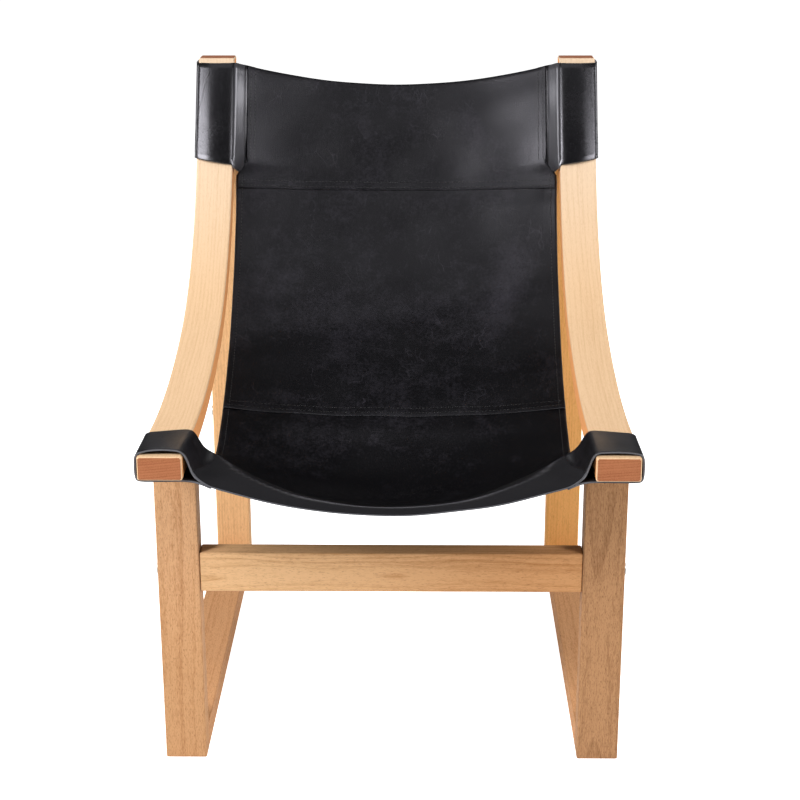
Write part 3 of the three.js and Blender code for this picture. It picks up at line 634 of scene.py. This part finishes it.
def seat_edge(share):
    """Half the width of the seat's cut edges between the straps."""
    return np.interp(share * rail_length * 1000, [7, 25, 50, 77, 101], [234, 231, 224, 217.5, 215]) / 1000


# Painted highlights on the leather, standing in for reflections of the lights.
painted_highlight_spots = [
    (0.612, 0.160, 0.050, 0.024, 0.22), (0.575, 0.148, 0.035, 0.020, 0.12), (0.66, 0.172, 0.050, 0.024, 0.22),
    (0.895, 0.115, 0.035, 0.018, 0.28), (0.335, 0.165, 0.006, 0.004, 0.5)]


def sheen_and_shade_at(share, x):
    """Light and shade painted into the leather's colour: a painted highlight along the seat's crest and in a few
    patches of the back, each given as its place along and across, its reach along and across, and its strength;
    painted shade over the seat, most on the front that turns down to its front edge; a little darker on the top piece."""
    hollow, front = sling_planes(share, x)
    corner = (np.abs(x) / seat_half_width) ** 2
    tone_and_sheen = (0.85 - 0.35 * corner) * np.exp(-(((hollow - front) / (0.0007 + 0.0013 * corner)) ** 2)) * (share < 0.13)
    tone_and_sheen = tone_and_sheen - 0.10 * (1 - ease(share, 0.3, 0.46)) - 0.05 * ease(share, 0.8, 0.86)
    tone_and_sheen = tone_and_sheen - 0.6 * ease(front - hollow, 0.0006, 0.0025) * (share < 0.13)
    for along, across, reach, width, strength in painted_highlight_spots:
        tone_and_sheen = tone_and_sheen + strength * np.exp(-(((share - along) / reach) ** 2) - ((x - across) / width) ** 2)
    return tone_and_sheen


def sheet_mesh(name, top, active, thickness, sheen_and_shade):
    """A closed sheet from a grid of points on its outer face. active says which cells of the grid are leather;
    the walls round them are cut edges, slightly rounded, with the second finish, and its back has the third."""
    rows, columns = top.shape[:2]
    normal = unit(np.cross(np.gradient(top, axis=1), np.gradient(top, axis=0)))
    thickness = thickness[..., None]
    touched = np.zeros((rows, columns), int)
    for dr, dc in ((0, 0), (0, 1), (1, 0), (1, 1)):
        touched[dr:rows - 1 + dr, dc:columns - 1 + dc] += active
    edge = ((touched > 0) & (touched < 4))[..., None]
    points = np.stack([top - normal * thickness * part for part in (edge_rounding * edge, 1 - edge_rounding * edge)])
    count = rows * columns
    number = np.arange(count).reshape(rows, columns)
    faces, walls = [], []
    filled = np.pad(active, 1)
    for r, c in np.argwhere(active):
        a, b, d, e = number[r, c], number[r, c + 1], number[r + 1, c + 1], number[r + 1, c]
        faces += [(a, b, d, e), (a + count, e + count, d + count, b + count)]
        sides = ((r, c + 1), (a, b)), ((r + 2, c + 1), (d, e)), ((r + 1, c), (e, a)), ((r + 1, c + 2), (b, d))
        walls += [(first + count, second + count, second, first) for near, (first, second) in sides if not filled[near]]
    mesh = bpy.data.meshes.new(name)
    used, corners = np.unique(np.array(faces + walls), return_inverse=True)
    mesh.from_pydata(points.reshape(-1, 3)[used], [], corners.reshape(-1, 4))
    mesh.polygons.foreach_set("material_index", [0, 2] * (len(faces) // 2) + [1] * len(walls))
    # The sheen-and-shade layer goes along as a point attribute: painted highlight and painted shade for the finish's
    # colour.
    sheen_and_shade_layer = mesh.attributes.new("sheen_and_shade", "FLOAT", "POINT")
    sheen_and_shade_layer.data.foreach_set("value", np.tile(sheen_and_shade.ravel(), 2)[used].astype(np.float32))
    mesh.shade_smooth()
    mesh.set_sharp_from_angle(angle=math.radians(50))
    return mesh


leather_face, entry, leave = surface_group("leather_face", {
    "Place": None, "Dark": (0.012, 0.012, 0.015, 1), "Tone And Sheen": (0.05, 0.05, 0.055, 1), "Crease Strength": 0.5,
    "Gloss": 0.45, "Sheen And Shade": 0.0})
tree = leather_face
place, sheen_and_shade = entry["Place"], entry["Sheen And Shade"]
wobble = noise(place, 260, 2, output="Color")
shaken = move("ADD", place, move("SCALE", wobble, 0.0012))
pebble = add_node(tree, "TexVoronoi", {"Vector": shaken, "Scale": 900, "Smoothness": 0.6}, feature="SMOOTH_F1")
pores = noise(shaken, 2600, 1)
broad = ramp(noise(place, 9, 3, 0.55), 0.38, 0.66, kind="SMOOTHSTEP")
drift = noise(place, 14, 3, output="Color")
strayed = move("ADD", place, move("SCALE", drift, 0.09))
stretched = move("MULTIPLY", strayed, (1.0, 0.42, 0.42))
cracks = add_node(tree, "TexVoronoi", {"Vector": stretched, "Scale": 42}, feature="DISTANCE_TO_EDGE")
some = ramp(noise(place, 21, 2), 0.52, 0.68)
crease = times(ramp(cracks.outputs["Distance"], 0.0, 0.03, 1.0, 0.0), some)
crease = times(crease, entry["Crease Strength"])
mottle = noise(place, 240, 4, 0.7)
cloud = noise(place, 55, 3, 0.6)
scuffs = noise(move("MULTIPLY", strayed, (700, 16, 16)), 1, 1)
scuff = times(ramp(scuffs, 0.70, 0.78), some)
# The leather's tone mixes its real creases, scuffs and mottle with the sheen-and-shade layer, which is painted
# highlight where above zero and painted shade where below.
tone_and_sheen = times(crease, 0.5, times(broad, 0.2, -0.05))
tone_and_sheen = swing(cloud, 0.5, swing(mottle, 0.7, tone_and_sheen))
tone_and_sheen = maths("ADD", times(scuff, 0.5, tone_and_sheen), sheen_and_shade)
tone_and_sheen = maths("MAXIMUM", swing(pores, 0.12, tone_and_sheen), 0.0)
# Past 0.3 the layer turns the colour toward a pale grey: a painted highlight.
bare = maths("MAXIMUM", times(sheen_and_shade, 1.4, -0.42), 0.0)
tinted = blend(bare, blend(tone_and_sheen, entry["Dark"], entry["Tone And Sheen"]), (0.17, 0.167, 0.187, 1))
rough = swing(mottle, 0.16, times(broad, -0.06, entry["Gloss"]))
rough = times(maths("MAXIMUM", sheen_and_shade, 0.0), -0.12, rough)
matt = maths("MINIMUM", maths("ADD", sheen_and_shade, 0.14), 0.0)
rough = swing(pores, 0.18, times(matt, -1.1, rough))
height = times(pebble.outputs["Distance"], 0.55, times(pores, 0.25))
feed(leave, {"Color": tinted, "Roughness": times(crease, 0.1, rough), "Height": times(crease, -0.8, height)})


def leather_finish(name, dark, tone_and_sheen, gloss, relief, specular, creased=0.5):
    """Dyed leather with a fine pebble, faint creases and a soft broad sheen; its colour also takes the painted
    highlight and painted shade that each piece carries.
    """
    finish, tree, shader = new_finish(name)
    face = add_node(tree, "Group", {
        "Place": add_node(tree, "TexCoord").outputs["Object"], "Dark": (*dark, 1), "Tone And Sheen": (*tone_and_sheen, 1), "Gloss": gloss,
        "Sheen And Shade": add_node(tree, "Attribute", attribute_name="sheen_and_shade").outputs["Fac"], "Crease Strength": creased,
    }, node_tree=leather_face).outputs
    feed_surface(tree, shader, face["Color"], face, relief, 0.0004, specular)
    feed(shader, {"Specular Tint": (0.93, 0.91, 1.0, 1)})
    return finish


saddle_leather = leather_finish("saddle_leather", (0.0007, 0.0006, 0.0010), (0.040, 0.037, 0.047), 0.39, 0.5, 0.40)
stretched_leather = leather_finish(
    "stretched_leather", (0.0009, 0.0008, 0.0011), (0.012, 0.012, 0.014), 0.27, 0.08, 0.6, creased=0.05)
painted_edge = leather_finish("painted_edge", (0.095, 0.097, 0.107), (0.22, 0.225, 0.24), 0.5, 0.2, 0.4)
flesh_side = leather_finish("flesh_side", (0.012, 0.011, 0.012), (0.034, 0.031, 0.032), 0.85, 0.9, 0.15)

waxed_thread, tree, shader = new_finish("waxed_thread")
twist = add_node(tree, "TexWave", {"Vector": add_node(tree, "TexCoord").outputs["Object"], "Scale": 900,
                                   "Distortion": 1.5}, bands_direction="DIAGONAL")
shade = blend(twist.outputs["Fac"], (0.004, 0.004, 0.0045, 1), (0.02, 0.02, 0.022, 1))
feed(shader, {"Base Color": shade, "Roughness": 0.4})


def lengths_along(path, power=1.0):
    return np.concatenate([[0], np.cumsum(np.linalg.norm(np.diff(path, axis=0), axis=1) ** power)])


def read_along(at, reach, path):
    """The point of a path at a length along it."""
    return np.stack([np.interp(at, reach, path[:, k]) for k in range(path.shape[1])], -1)


def stitches(name, lines, pitch=0.0052, width=0.0011):
    """Rows of short thread stitches along lines; each line is (points, normals) on the leather. A stitch is a
    round bead, its rings given as (place along the stitch, fatness)."""
    points, faces = [], []
    sides, rings = 6, [(-0.5, 0.35), (-0.36, 0.85), (0.0, 1.0), (0.36, 0.85), (0.5, 0.35)]
    turns = [2 * math.pi * k / sides for k in range(sides)]
    for path, normals in lines:
        reach = lengths_along(path)
        count = max(1, int(reach[-1] / pitch))
        for middle in (np.arange(count) + 0.5) * reach[-1] / count:
            behind, before = (read_along(at, reach, path) for at in (middle - 0.001, middle + 0.001))
            ahead = unit(before - behind)
            up = unit(read_along(middle, reach, normals))
            side = np.cross(ahead, up)
            start = len(points)
            for shift, fat in rings:
                base = (behind + before) / 2 + ahead * shift * pitch * 0.72 + up * (0.00012 - 0.0003 * abs(shift))
                points += [base + (side * math.cos(turn) + up * math.sin(turn) * 0.7) * width * 0.5 * fat
                           for turn in turns]
            for first in range(start, len(points) - sides, sides):
                for k in range(sides):
                    a, b = first + k, first + (k + 1) % sides
                    faces.append((a, b, b + sides, a + sides))
            faces += [range(start, start + sides)[::-1], range(len(points) - sides, len(points))]
    mesh = bpy.data.meshes.new(name)
    mesh.from_pydata(points, [], faces)
    mesh.shade_smooth()
    mesh.materials.append(waxed_thread)
    add_piece(name, mesh)


# The folded hem in section, as (distance in from the edge, height), from its inner edge under the leather,
# round the fold and a little way over the face.
fold_gap = 0.0003
lap_gap = 0.00015
fold_depth = leather + fold_leather + fold_gap
fold_turns = np.linspace(-math.pi / 2, math.pi / 2, 8)
fold_path = [(inset, -fold_depth) for inset in (hem_width, 0.0125, 0.0075, 0.0045)]
fold_path += [(fold_depth / 2 * (1 - math.cos(turn)), fold_depth / 2 * (math.sin(turn) - 1)) for turn in fold_turns]
half_path = fold_path + [(inset, 0) for inset in (0.0036, 0.005, 0.008, 0.012, 0.0165, 0.0185, 0.021)]
hem_cells = len(fold_path) - 1
middle_columns = 40
pared_seam = 0.55
lap_travel = 0.018
ramp_travel = 0.024


def pared_at(inset):
    """Thickness at a distance from a cut edge that is pared thin."""
    return np.interp(inset, [0, 0.012], [0.0009, leather])


def level(share):
    """A line straight across the sling: the share of the rails' length at each place across, from -1 to 1."""
    return lambda across: share + 0 * across


def seam_line(base, travel=0.0):
    """A line across the sling along a bowed seam, or at a travel from it."""
    return lambda across: base + seam_bow / rail_length * (1 - np.asarray(across) ** 2) + travel / rail_length


def lines_between(start_at, end_at, parts):
    return [lambda across, part=part: start_at(across) + (end_at(across) - start_at(across)) * part for part in parts]


def step_down(rows, base):
    """Adds rows in which a panel steps down behind the next one and runs on under it. Gives every row's step."""
    parts = [0.25, 0.5, 0.75, 1.0]
    steps = [0.0] * len(rows) + list(pared_seam * ease(parts, 0, 1)) + [1.0] * 3
    rows += lines_between(seam_line(base, -ramp_travel), seam_line(base), parts)
    rows += lines_between(seam_line(base), seam_line(base, lap_travel), [0.5, 0.97, 1.0])
    return steps


def panel_grid(rows, steps, bare=(), edge_half=sling_half, surface=sling_surface, seam=None):
    """Points on a panel's outer face, and its thickness and its painted highlight and shade there. Each row is a line
    across the sling; columns run from one folded hem's inner edge, round the fold, over the face and round the other
    fold. Bare rows have a cut edge, pared thin, in place of the hem; the leather is also pared towards its seam."""
    grid, thickness, sheen_and_shade = [], [], []
    depth = np.array([place[1] for place in half_path])
    hem_thickness = np.interp(depth, [-fold_depth, -0.0022, 0], [fold_leather, fold_leather, leather])
    hem_thickness[hem_cells + 1:] = leather
    for row, share_at in enumerate(rows):
        half = float((edge_half if row in bare else hem_half)(share_at(1.0)))
        inset = np.array([place[0] for place in half_path])
        pared = hem_thickness.copy()
        if row in bare:
            inset[hem_cells] = 0
            pared[hem_cells:] = pared_at(inset[hem_cells:])
        middle = np.linspace(-1, 1, middle_columns + 2)[1:-1] * (half - half_path[-1][0])
        x = np.concatenate([-(half - inset), middle, (half - inset)[::-1]])
        height = np.concatenate([depth, np.zeros(middle_columns), depth[::-1]])
        share = share_at(x / half)
        doubled = np.interp(half - np.abs(x), [hem_width, hem_width + 0.010], [1.0, 0.0])
        back = steps[row] * (leather + lap_gap + (fold_leather + fold_gap) * doubled)
        grid.append(surface(share, x) + surface_normal(share, x, surface) * (height - back)[:, None])
        sheen_and_shade.append(sheen_and_shade_at(share, x))
        left_over = 1.0
        if seam is not None:
            left_over = np.interp((share - seam_line(seam)(x / half)) * rail_length, [0, 0.009], [pared_seam, 1])
        thickness.append(np.concatenate([pared, np.full(middle_columns, leather), pared[::-1]]) * left_over)
    return np.array(grid), np.array(thickness), np.array(sheen_and_shade)


def leather_piece(name, grid, replaced, thickness, sheen_and_shade, face=saddle_leather, bare=()):
    """A piece of leather. Its bare rows have no folded hem, because they lie on a strap or a pocket."""
    active = np.ones((len(grid) - 1, len(grid[0]) - 1), bool)
    for row in bare:
        active[row, :hem_cells] = active[row, -hem_cells:] = False
    mesh = sheet_mesh(name, grid, active, thickness, sheen_and_shade)
    for finish in (face, painted_edge, flesh_side):
        mesh.materials.append(finish)
    add_piece(name, mesh, replaced)


# The seat, from the front edge to the lap behind the lower seam
rows = lines_between(
    level(strap_front_travel / rail_length), level(hem_start),
    [0, 0.0006 / rail_length / 0.104, *np.linspace(0, 1, 56)[1:]])
bare = range(len(rows) - 1)
rows += lines_between(level(hem_start), seam_line(lower_seam_share, -ramp_travel), np.linspace(0, 1, 46)[1:])
steps = step_down(rows, lower_seam_share)
grid, thickness, sheen_and_shade = panel_grid(rows, steps, bare, seat_edge, corner_surface)
leather_piece("seat_leather", grid, "seat_panel",
              thickness, sheen_and_shade, bare=bare)

# The back, which laps over the seat at the lower seam and under the top piece at the upper seam
rows = lines_between(
    seam_line(lower_seam_share), seam_line(upper_seam_share, -ramp_travel), [0, 0.0019, *np.linspace(0, 1, 48)[1:]])
steps = step_down(rows, upper_seam_share)
grid, thickness, sheen_and_shade = panel_grid(rows, steps, seam=lower_seam_share)
leather_piece("back_leather", grid, "back_panel",
              thickness, sheen_and_shade)

# The top piece, narrower between the pockets, with its upper edge cut to a shallow curve
narrowing, narrowed, top_share = level(0.812), level(0.828), 0.993
top_edge_dip = 0.015
rows = lines_between(seam_line(upper_seam_share), narrowing, [0, 0.035, 0.25, 0.5, 0.75, 1.0])
rows += lines_between(narrowing, narrowed, [0.2, 0.4, 0.6, 0.8, 1.0])
hem_rows = len(rows) - 1
rows += lines_between(narrowed, lambda across: top_share - top_edge_dip / rail_length * (1 - across**2),
                      [*np.linspace(0, 1, 24)[1:-1], 0.996, 1.0])
grid, thickness, sheen_and_shade = panel_grid(rows, [0.0] * len(rows), range(hem_rows + 1, len(rows)), seam=upper_seam_share)
leather_piece("top_leather", grid, "top_panel",
              thickness, sheen_and_shade, bare=range(hem_rows, len(rows) - 1))

# The stitching: one row along each hem, two down each side of the top piece and two along each seam
hem_stitch_inset = 0.0085
sewn = []
for sign in (-1, 1):
    shares = np.linspace(0.117, upper_seam_share + 0.022, 300)
    sewn.append((shares, sign * (hem_half(shares) - hem_stitch_inset)))
    shares = np.linspace(0.832, 0.985, 80)
    sewn += [(shares, sign * (sling_half(shares) - inset)) for inset in (0.004, 0.0105)]
for base, ups in ((lower_seam_share, (0.0050, 0.0122)), (upper_seam_share, (0.0036, 0.0108))):
    x = np.linspace(-1, 1, 160) * (sling_half_width - 0.004)
    sewn += [(seam_line(base, up)(x / sling_half_width), x) for up in ups]
stitches("panel_stitches", [(sling_surface(shares, x), surface_normal(shares, x)) for shares, x in sewn])

# Front straps
# A strap of the same leather is stitched under each front corner of the seat, passes over the rail's end and
# round it, and is stitched back under the seat. Both outlines give x and drop in mm, round the rail.
strap_front = np.array([
    (236, 15.5), (238.6, 8), (241.2, 2), (244.8, -2.9), (250, -6.1), (258, -7.4), (272, -7.9), (286, -6.9),
    (295, -4.8), (300.8, -2.3), (303.6, 3), (304.4, 12), (304.2, 24), (302.2, 31.4), (296, 33.7), (273, 33.9),
    (250, 33.7), (240, 34.2), (231, 35.8), (222, 39), (213.5, 42.9)])
strap_back = np.array([
    (235.8, 12), (238.8, 6.5), (242.5, 0.6), (247, -2.7), (252, -3.9), (259, -4.2), (273, -4.0), (287, -3.6),
    (296.5, -3.2), (301.6, -1.2), (303.4, 4), (303.8, 13), (303.6, 24), (301.8, 31), (295.5, 33.6), (273, 33.6),
    (250, 33.6), (240, 33.7), (231, 34), (222, 34.8), (213.5, 36.8)])
strap_slant = 0.012
strap_lap = 0.012
under_seat = 0.0002
close_to_rail = 0.0034


def even_path(points, count):
    """A smooth curve through points, read at even lengths. Gives the points and the length along it."""
    reach = lengths_along(points, 0.6)
    fine = np.linspace(0, reach[-1], 900)
    curve = np.stack([smooth_between(reach, points[:, k], fine) for k in range(points.shape[1])], 1)
    length = lengths_along(curve)
    at = np.linspace(0, length[-1], count)
    return read_along(at, length, curve), at


def strap_path(part, bow):
    """The strap's outer face in one row: x and drop, from under the seat round the rail and back under the seat."""
    share = (strap_front_travel + (strap_back_travel - strap_front_travel) * part) / rail_length
    edge = float(seat_edge(share))
    under = edge - np.array([strap_lap, strap_lap / 2, 0.001])
    points = list(zip(under, corner_drop(share, under) + pared_at(edge - under) + under_seat))
    first = edge + 0.0025
    for x in np.linspace(first, 0.2368, max(1, round((0.2365 - edge) / 0.005)) + 1)[:-1]:
        points.append((x, float(corner_drop(share, x)) + under_seat))
    if first > 0.2355:
        points.pop()
    outline = (strap_front + (strap_back - strap_front) * ease(part, 0, 1)) / 1000
    lifted = outline[:, 1] < -close_to_rail
    outline[lifted, 1] = -close_to_rail + (outline[lifted, 1] + close_to_rail) * bow
    outline[:4, 1] += (float(corner_drop(share, 0.236)) - outline[0, 1]) * np.array([1, 0.7, 0.35, 0.1])
    return np.array([*points, *outline])


def mirrored(grid):
    """The same sheet for the chair's other side, its outer face still outward."""
    return (grid * np.array([-1, 1, 1]))[:, ::-1]


for side, bow in (("left", 0.62), ("right", 1.0)):
    rows, thickness = [], []
    for part in [0, 0.0065, *np.linspace(0, 1, 26)[1:-1], 0.9935, 1]:
        path, length = even_path(strap_path(part, bow), 150)
        travel = strap_front_travel + (strap_back_travel - strap_front_travel) * part
        slant = strap_slant * part * np.clip((path[:, 0] - rail_inner_face) / rail_width, 0, 1)
        rows.append(np.stack([path[:, 0], *rail_place(travel - slant, path[:, 1])], 1))
        thickness.append(np.interp(length, [0, 0.004, 0.013, length[-1] - 0.014, length[-1] - 0.004, length[-1]],
                                   [0.0009, 0.0011, leather, leather, 0.0018, 0.0014]))
    grid, thickness = np.array(rows), np.array(thickness)
    if side == "right":
        grid, thickness = mirrored(grid), thickness[:, ::-1]
    leather_piece(f"{side}_strap_leather", grid, f"{side}_front_strap",
                  thickness, np.zeros(thickness.shape))

# Top pockets
# Wedge-shaped sleeves, open at top and bottom, that slide down over each rail's top and rear leg together.
# Both ends are stitched under the top piece's edge; their rims are stitched close to the cut.
pocket_bottom = 0.7015
pocket_hem_slope = 0.008 / 54
pocket_end_fall = 0.021
pocket_top = 0.8348
pocket_top_dip = 0.020
web_end = 0.2435
behind_legs = rear_high.y
top_shares = np.linspace(0.76, 1.02, 120)


def sling_y(x, z):
    surface = sling_surface(top_shares, x)
    return float(np.interp(z, surface[:, 2], surface[:, 1]))


def web_y(x, z):
    """The pocket's flat side, from the rail's edge down to the panel's edge; nearer the middle it lies behind
    the panel."""
    share = np.interp(z, sling_surface(top_shares, 0.23)[:, 2], top_shares)
    start = float(np.clip(sling_half(share) + 0.001, 0.227, 0.241))
    if x < start:
        return sling_y(min(x, 0.2405), z) + 0.0036 - 0.0018 * float(ease(x, start - 0.004, start))
    near = sling_y(start, z) + 0.0018
    return near + (rail_face_y(z) - 0.0013 - near) * (x - start) / (web_end - start)


def panel_y(x, z):
    return sling_y(min(x, 0.230), z)


# The pocket's section, from its front end round to its rear end. Each run of columns has what it lies on, and
# for each column x in mm, how far it stands behind that in mm, and how far its top dips.
pocket_section = [
    (panel_y, [(212, 3.5, 0.60), (217, 2.9, 0.5), (222, 2.05, 0.42)]),
    (web_y, [(227, 0, 0.34), (231.75, 0, 0.25), (236.5, 0, 0.16), (240.2, 0, 0.07), (243.2, 0, 0.02)]),
    (lambda x, z: rail_face_y(z), [
        (246.1, -3.3, 0), (249.4, -5.0, 0), (253.6, -6.1, 0), (259, -6.8, 0), (266, -7.2, 0), (274, -7.2, 0),
        (281.5, -6.6, 0), (288, -5.5, 0), (294, -4.2, 0), (298.8, -3.0, 0), (301.6, -1.3, 0), (303, 0.8, 0),
        (303.5, 4.5, 0), (303.8, 11, 0)]),
    (lambda x, z: (rail_face_y(z) + behind_legs) / 2, [(303.9, 0, 0)]),
    (lambda x, z: behind_legs, [
        (303.8, -11, 0), (303.0, -2.5, 0), (299, 2.8, 0), (290, 3.6, 0), (273, 3.8, 0), (256, 3.6, 0.1),
        (248, 2.6, 0.3), (243.2, -2.5, 0.7), (241, -12, 0.85)]),
    (panel_y, [(236.5, 14, 0.95), (230, 8.2, 1), (222, 7.0, 1), (213, 7.0, 1)]),
]

for side in ("left", "right"):
    rows = []
    for part in [0, 0.0055, *np.linspace(0, 1, 19)[1:-1], 0.9945, 1]:
        corners = []
        for base_y, x, off, dip in ((base_y, *column) for base_y, columns in pocket_section for column in columns):
            low = pocket_bottom - pocket_hem_slope * (300 - min(x, 300)) - pocket_end_fall * ease(248 - x, 0, 17)
            z = float(low + (pocket_top - pocket_top_dip * dip - low) * part)
            corners.append((x / 1000, base_y(x / 1000, z) + off / 1000, z))
        rows.append(even_path(np.array(corners), 170)[0])
    grid = np.array(rows)
    # The pocket's flat side and its turn onto the rail are painted lighter at the front: a painted highlight for the
    # light that this strip reflects.
    turn = ease(grid[..., 0], 0.2285, 0.2305) - ease(grid[..., 0], 0.2445, 0.249)
    turn = turn * (grid[..., 1] < behind_legs - 0.03)
    thickness = leather * np.interp(np.linspace(0, 1, 170), [0, 0.05, 0.08, 0.9, 0.95, 1], [0.5, 0.6, 1, 1, 0.6, 0.5])
    if side == "right":
        grid, thickness, turn = mirrored(grid), thickness[::-1], turn[:, ::-1]
    leather_piece(f"{side}_pocket_leather", grid, f"{side}_top_pocket",
                  thickness, 0.5 * turn, stretched_leather)
    normal = unit(np.cross(np.gradient(grid, axis=1), np.gradient(grid, axis=0)))
    lines = []
    for part in (0.038, 0.962):
        row = part * (len(rows) - 1)
        k = int(row)
        lines.append(((grid[k] + (grid[k + 1] - grid[k]) * (row - k))[8:-8], normal[k][8:-8]))
    behind_face = grid[10, :, 1] > rail_face_y(grid[10, 0, 2])
    column = int(np.argmin(np.abs(np.abs(grid[10, :, 0]) - 0.2985) + behind_face * 1.0))
    lines.append((grid[2:-2, column], normal[2:-2, column]))
    stitches(f"{side}_pocket_stitches", lines, pitch=0.0042, width=0.0009)
